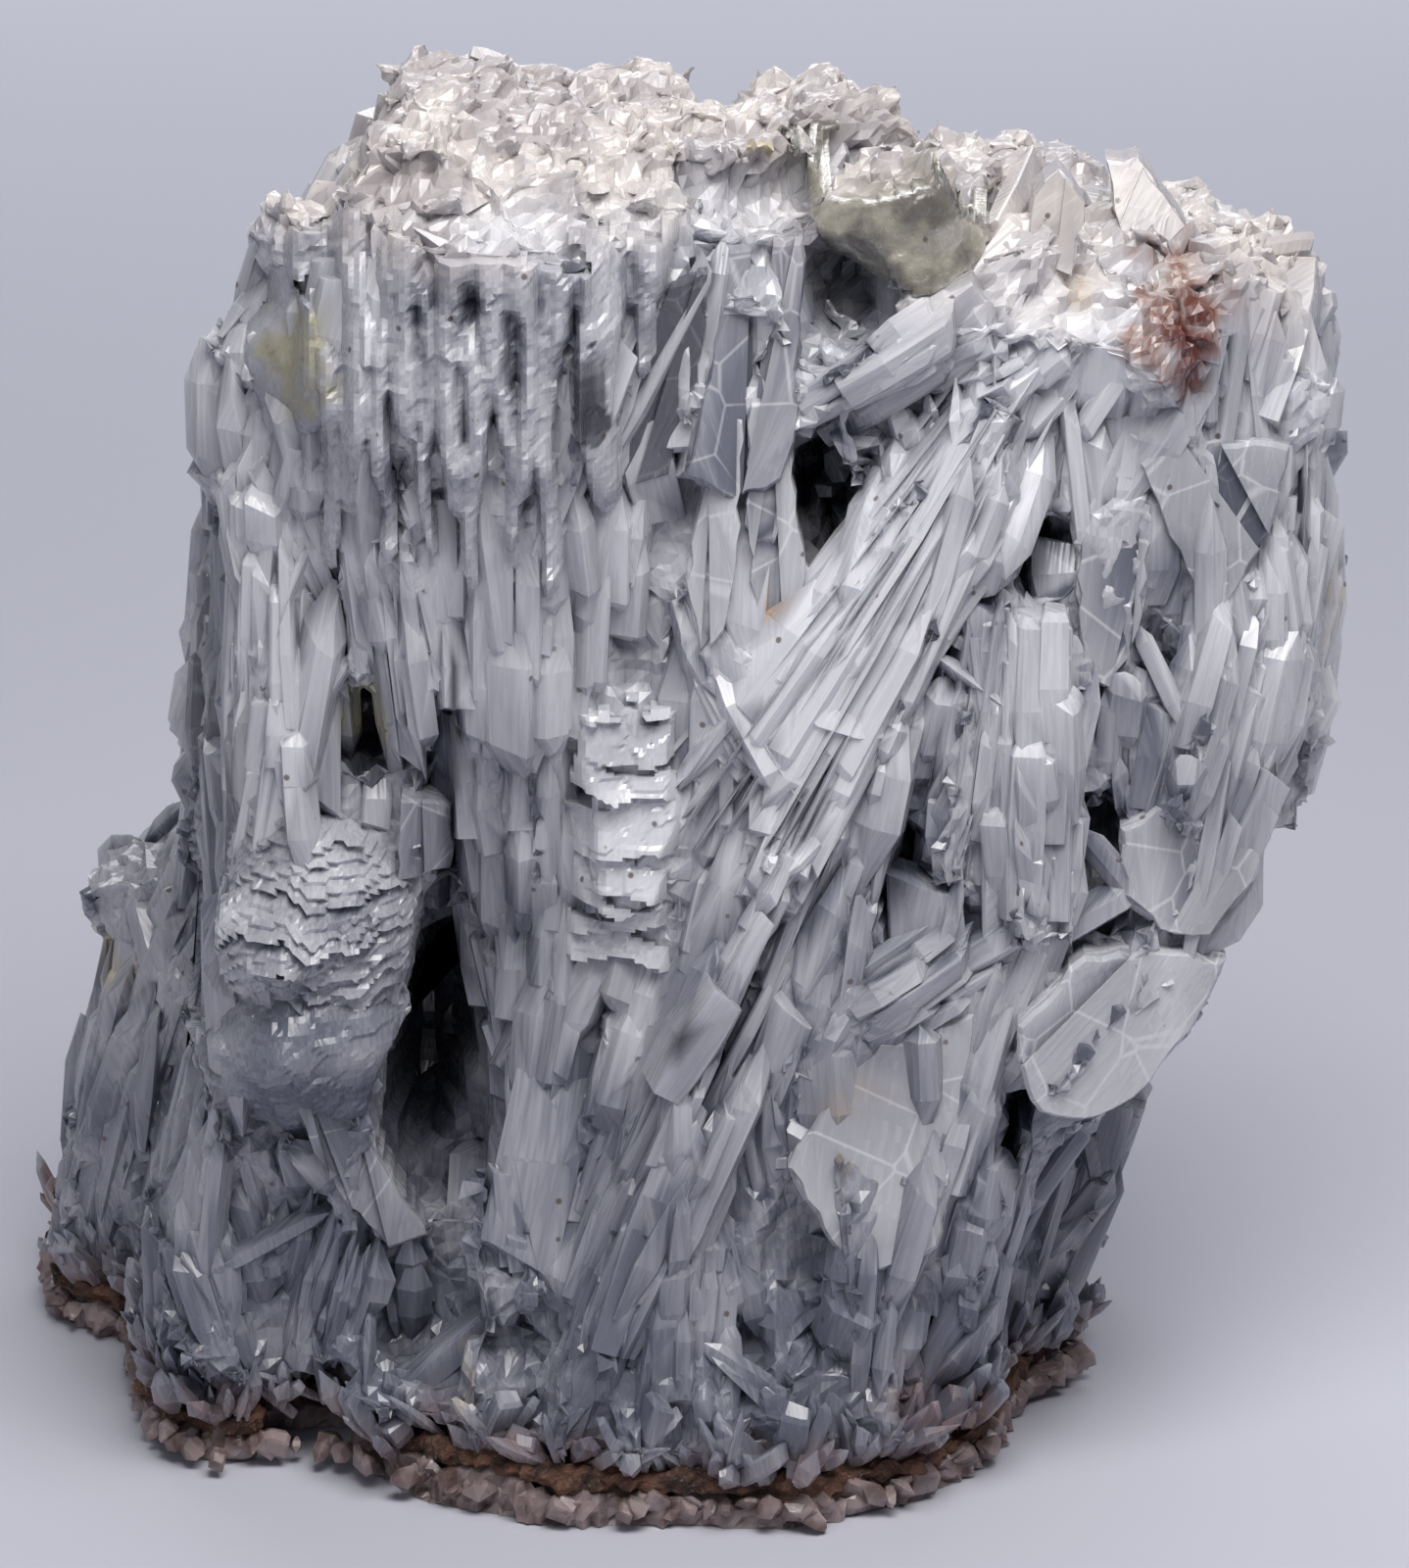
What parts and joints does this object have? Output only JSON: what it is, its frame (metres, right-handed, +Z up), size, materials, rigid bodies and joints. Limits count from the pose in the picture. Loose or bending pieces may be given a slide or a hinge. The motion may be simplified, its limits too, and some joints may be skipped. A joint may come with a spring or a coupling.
{
  "type": "celestite cluster",
  "caption": "Upright cluster of intergrown, bladed and fibrous pale blue-grey crystals on a thin seam of brown rock, standing on its flat broken foot.",
  "frame": {"origin": "middle of the bounding box, on the floor that the foot rests on", "axes": "+Z up, the front of the specimen faces -Y, +X to its right"},
  "size_m": [0.1042, 0.0704, 0.1071],
  "materials": {
    "celestite": "milky translucent pale blue-grey crystal with pearly cleavage faces and a cream-white crust",
    "seam_rock": "dull rust-brown rock, gritty and broken",
    "footwall_crystal": "pinkish-white small toothed crystals, half clear"
  },
  "bodies": {
    "root": {"crystal_mass": "celestite", "rock_seam": "seam_rock", "footwall_crystals": "footwall_crystal"}
  },
  "joints": []
}
